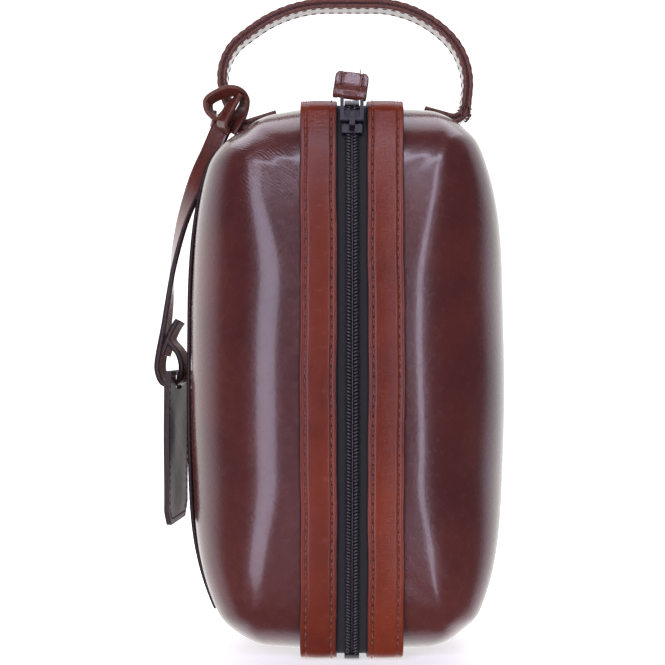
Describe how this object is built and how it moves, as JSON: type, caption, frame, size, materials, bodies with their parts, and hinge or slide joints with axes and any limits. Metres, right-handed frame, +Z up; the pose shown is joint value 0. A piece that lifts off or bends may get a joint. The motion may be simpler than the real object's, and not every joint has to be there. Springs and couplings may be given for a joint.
{
  "type": "shaving kit bag",
  "caption": "Glossy brown leather shaving kit bag standing on one short end, with a black zip down its face, an arched handle and a hanging leather tag.",
  "frame": {"origin": "in the plane of the end that the bag stands on, under the middle of the zip and the middle of the bag's depth", "axes": "+Z up along the zip to the handle end, -Y out of the face with the zip, -X towards the side with the patch pocket and the tag"},
  "size_m": [0.1707, 0.1503, 0.3047],
  "materials": {
    "bag_leather": "glossy",
    "facing_leather": "glossy",
    "strap_leather": "glossy",
    "tag_leather": "glossy",
    "lining_cloth": "matte",
    "base_board_card": "matte",
    "zip_tape_cloth": "matte",
    "zip_nylon": "satin",
    "slider_metal": "satin",
    "ring_metal": "satin"
  },
  "bodies": {
    "bag": {"left_panel": "bag_leather", "right_panel": "bag_leather", "base_panel": "bag_leather", "base_board": "base_board_card", "lining_left": "lining_cloth", "lining_right": "lining_cloth", "lining_base": "lining_cloth", "pocket_panel": "bag_leather", "facing_left": "facing_leather", "facing_right": "facing_leather", "zip_tape_left": "zip_tape_cloth", "zip_tape_right": "zip_tape_cloth", "zip_coil_left": "zip_nylon", "zip_coil_right": "zip_nylon", "zip_top_stop_left": "zip_nylon", "zip_top_stop_right": "zip_nylon", "zip_bottom_stop": "zip_nylon", "zip_end_tab_top": "facing_leather", "zip_end_tab_bottom": "facing_leather", "handle_anchor_left": "strap_leather", "handle_anchor_right": "strap_leather"},
    "slider": {"slider_body": "slider_metal", "slider_back_plate": "slider_metal", "slider_bridge": "slider_metal"},
    "puller": {"puller_ring": "ring_metal", "puller_leather": "strap_leather"},
    "handle": {"handle_outer_strap": "strap_leather", "handle_inner_strap": "strap_leather", "handle_core": "strap_leather", "tag_strap_knot": "strap_leather"},
    "tag_strap": {"tag_strap": "strap_leather"},
    "tag": {"tag_front": "tag_leather", "tag_back": "tag_leather"}
  },
  "joints": [
    {"name": "slider_travel", "type": "hinge", "parent": "bag", "child": "slider", "pos_m": [0, 0.2677, 0.125], "axis": [1, 0, 0], "range_deg": [0, 38.75]},
    {"name": "puller_swing", "type": "hinge", "parent": "slider", "child": "puller", "pos_m": [0, -0.05847, 0.23971], "axis": [1, 0, 0], "range_deg": [0, 174]},
    {"name": "handle_swing", "type": "hinge", "parent": "bag", "child": "handle", "pos_m": [0, 0, 0.2581], "axis": [1, 0, 0], "range_deg": [-75, 70]},
    {"name": "strap_swing", "type": "hinge", "parent": "handle", "child": "tag_strap", "pos_m": [-0.06655, 0, 0.2491], "axis": [1, 0, 0], "range_deg": [-80, 80]},
    {"name": "tag_flap", "type": "hinge", "parent": "tag_strap", "child": "tag", "pos_m": [-0.0855, 0, 0.131], "axis": [0, 1, 0], "range_deg": [-3, 80]}
  ]
}
